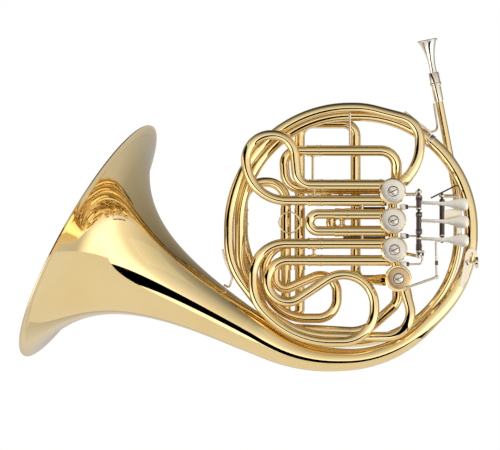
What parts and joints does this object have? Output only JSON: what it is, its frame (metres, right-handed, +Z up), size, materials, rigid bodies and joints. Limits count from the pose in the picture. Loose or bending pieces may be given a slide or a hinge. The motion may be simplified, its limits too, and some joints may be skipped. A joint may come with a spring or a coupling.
{
  "type": "double french horn",
  "caption": "Double french horn: flared bell on a round ring of tubing, rotary valves with finger and thumb levers, pull-out slides, mouthpiece in its receiver.",
  "frame": {"origin": "point on the tubing at the back of the ring, level with its centre, where the left hand holds the horn", "axes": "+X from the bell towards the mouthpiece side, +Y away from the viewer of the picture, +Z up towards the mouthpiece"},
  "size_m": [0.5391, 0.3052, 0.3924],
  "materials": {
    "lacquered_brass": "clear lacquer over polished yellow brass",
    "nickel_silver": "polished nickel silver",
    "dark_steel": "dark bearing steel",
    "silver_plate": "bright silver plate"
  },
  "bodies": {
    "horn_body": {"bell": "lacquered_brass", "bell_tail": "lacquered_brass", "first_branch": "lacquered_brass", "leadpipe": "lacquered_brass", "crown_tube": "lacquered_brass", "mouthpiece_receiver": "nickel_silver", "f_ring_tube": "lacquered_brass", "lever_axle": "dark_steel", "axle_bracket_upper": "nickel_silver", "axle_bracket_lower": "nickel_silver", "thumb_axle": "dark_steel", "thumb_bracket": "nickel_silver", "bell_brace": "nickel_silver", "leadpipe_brace": "nickel_silver", "ring_rod_brace": "nickel_silver", "finger_hook": "nickel_silver", "valve_casing_1": "lacquered_brass", "valve_casing_2": "lacquered_brass", "valve_casing_3": "lacquered_brass", "valve_casing_4": "lacquered_brass", "back_cap_1": "nickel_silver", "back_cap_2": "nickel_silver", "back_cap_3": "nickel_silver", "back_cap_4": "nickel_silver"},
    "mouthpiece": {"mouthpiece": "silver_plate"},
    "valve_1_f_slide": {"valve_1_f_slide": "lacquered_brass"},
    "valve_2_f_slide": {"valve_2_f_slide": "lacquered_brass"},
    "valve_3_f_slide": {"valve_3_f_slide": "lacquered_brass"},
    "valve_1_b_flat_slide": {"valve_1_b_flat_slide": "lacquered_brass"},
    "valve_2_b_flat_slide": {"valve_2_b_flat_slide": "lacquered_brass"},
    "valve_3_b_flat_slide": {"valve_3_b_flat_slide": "lacquered_brass"},
    "upper_tuning_slide": {"upper_tuning_slide": "lacquered_brass"},
    "main_tuning_slide": {"main_tuning_slide": "lacquered_brass"},
    "pull_ring": {"pull_ring": "silver_plate"},
    "rotor_1": {"rotor_1": "nickel_silver", "drive_disc_1": "nickel_silver", "stem_screw_1": "silver_plate"},
    "lever_1": {"lever_1": "nickel_silver"},
    "link_1": {"link_1": "nickel_silver"},
    "rotor_2": {"rotor_2": "nickel_silver", "drive_disc_2": "nickel_silver", "stem_screw_2": "silver_plate"},
    "lever_2": {"lever_2": "nickel_silver"},
    "link_2": {"link_2": "nickel_silver"},
    "rotor_3": {"rotor_3": "nickel_silver", "drive_disc_3": "nickel_silver", "stem_screw_3": "silver_plate"},
    "lever_3": {"lever_3": "nickel_silver"},
    "link_3": {"link_3": "nickel_silver"},
    "rotor_4": {"rotor_4": "nickel_silver", "drive_disc_4": "nickel_silver", "stem_screw_4": "silver_plate"},
    "thumb_lever": {"thumb_lever": "nickel_silver"},
    "link_4": {"link_4": "nickel_silver"},
    "thumbscrew": {"thumbscrew": "nickel_silver"}
  },
  "joints": [
    {"name": "mouthpiece_draw", "type": "slide", "parent": "horn_body", "child": "mouthpiece", "axis": [-0.1889, 0, 0.982], "range_m": [0, 0.025]},
    {"name": "valve_1_f_slide_draw", "type": "slide", "parent": "horn_body", "child": "valve_1_f_slide", "axis": [-1, 0, 0], "range_m": [0, 0.02]},
    {"name": "valve_2_f_slide_draw", "type": "slide", "parent": "horn_body", "child": "valve_2_f_slide", "axis": [-1, 0, 0], "range_m": [0, 0.02]},
    {"name": "valve_3_f_slide_draw", "type": "slide", "parent": "horn_body", "child": "valve_3_f_slide", "axis": [-1, 0, 0], "range_m": [0, 0.008]},
    {"name": "valve_1_b_flat_slide_draw", "type": "slide", "parent": "horn_body", "child": "valve_1_b_flat_slide", "axis": [-1, 0, 0], "range_m": [0, 0.02]},
    {"name": "valve_2_b_flat_slide_draw", "type": "slide", "parent": "horn_body", "child": "valve_2_b_flat_slide", "axis": [-1, 0, 0], "range_m": [0, 0.02]},
    {"name": "valve_3_b_flat_slide_draw", "type": "slide", "parent": "horn_body", "child": "valve_3_b_flat_slide", "axis": [-1, 0, 0], "range_m": [0, 0.007]},
    {"name": "upper_tuning_slide_draw", "type": "slide", "parent": "horn_body", "child": "upper_tuning_slide", "axis": [-1, 0, 0], "range_m": [0, 0.018]},
    {"name": "main_tuning_slide_draw", "type": "slide", "parent": "horn_body", "child": "main_tuning_slide", "axis": [0, 0, -1], "range_m": [0, 0.008]},
    {"name": "pull_ring_swing", "type": "hinge", "parent": "valve_2_f_slide", "child": "pull_ring", "pos_m": [-0.20161, -0.013, 0.0182], "axis": [0, 0, 1], "range_deg": [-80, 80]},
    {"name": "lever_1_press", "type": "hinge", "parent": "horn_body", "child": "lever_1", "pos_m": [-0.06341, -0.06, 0.01879], "axis": [0, 0, 1], "range_deg": [0, 16.79], "stiffness_Nm_per_rad": 0.12, "springref_deg": -11.46},
    {"name": "link_1_travel", "type": "slide", "parent": "horn_body", "child": "link_1", "axis": [-1, 0, 0], "range_m": [0, 0.00905]},
    {"name": "rotor_1_turn", "type": "hinge", "parent": "horn_body", "child": "rotor_1", "pos_m": [-0.09288, 0, 0.05472], "axis": [0, 1, 0], "range_deg": [0, 90]},
    {"name": "lever_2_press", "type": "hinge", "parent": "horn_body", "child": "lever_2", "pos_m": [-0.06341, -0.06, 0.01879], "axis": [0, 0, 1], "range_deg": [0, 16.79], "stiffness_Nm_per_rad": 0.12, "springref_deg": -11.46},
    {"name": "link_2_travel", "type": "slide", "parent": "horn_body", "child": "link_2", "axis": [-1, 0, 0], "range_m": [0, 0.00905]},
    {"name": "rotor_2_turn", "type": "hinge", "parent": "horn_body", "child": "rotor_2", "pos_m": [-0.09241, 0, 0.02043], "axis": [0, 1, 0], "range_deg": [0, 90]},
    {"name": "lever_3_press", "type": "hinge", "parent": "horn_body", "child": "lever_3", "pos_m": [-0.06341, -0.06, 0.01879], "axis": [0, 0, 1], "range_deg": [0, 16.79], "stiffness_Nm_per_rad": 0.12, "springref_deg": -11.46},
    {"name": "link_3_travel", "type": "slide", "parent": "horn_body", "child": "link_3", "axis": [-1, 0, 0], "range_m": [0, 0.00905]},
    {"name": "rotor_3_turn", "type": "hinge", "parent": "horn_body", "child": "rotor_3", "pos_m": [-0.09112, 0, -0.01362], "axis": [0, 1, 0], "range_deg": [0, 90]},
    {"name": "thumb_lever_press", "type": "hinge", "parent": "horn_body", "child": "thumb_lever", "pos_m": [-0.03464, 0, 0.02348], "axis": [0, 0, -1], "range_deg": [0, 16.79], "stiffness_Nm_per_rad": 0.12, "springref_deg": -11.46},
    {"name": "link_4_travel", "type": "slide", "parent": "horn_body", "child": "link_4", "axis": [-1, 0, 0], "range_m": [0, 0.00905]},
    {"name": "rotor_4_turn", "type": "hinge", "parent": "horn_body", "child": "rotor_4", "pos_m": [-0.0863, 0, -0.04732], "axis": [0, 1, 0], "range_deg": [0, 90]},
    {"name": "thumbscrew_turn", "type": "hinge", "parent": "horn_body", "child": "thumbscrew", "pos_m": [-0.00528, -0.0079, -0.02865], "axis": [1, 0, 0], "range_deg": [-180, 180]}
  ],
  "couplings": [
    {"joint": "link_1_travel", "follows": "lever_1_press", "m_per_rad": 0.03088},
    {"joint": "rotor_1_turn", "follows": "lever_1_press", "ratio": 5.36},
    {"joint": "link_2_travel", "follows": "lever_2_press", "m_per_rad": 0.03088},
    {"joint": "rotor_2_turn", "follows": "lever_2_press", "ratio": 5.36},
    {"joint": "link_3_travel", "follows": "lever_3_press", "m_per_rad": 0.03088},
    {"joint": "rotor_3_turn", "follows": "lever_3_press", "ratio": 5.36},
    {"joint": "link_4_travel", "follows": "thumb_lever_press", "m_per_rad": 0.03088},
    {"joint": "rotor_4_turn", "follows": "thumb_lever_press", "ratio": 5.36}
  ]
}
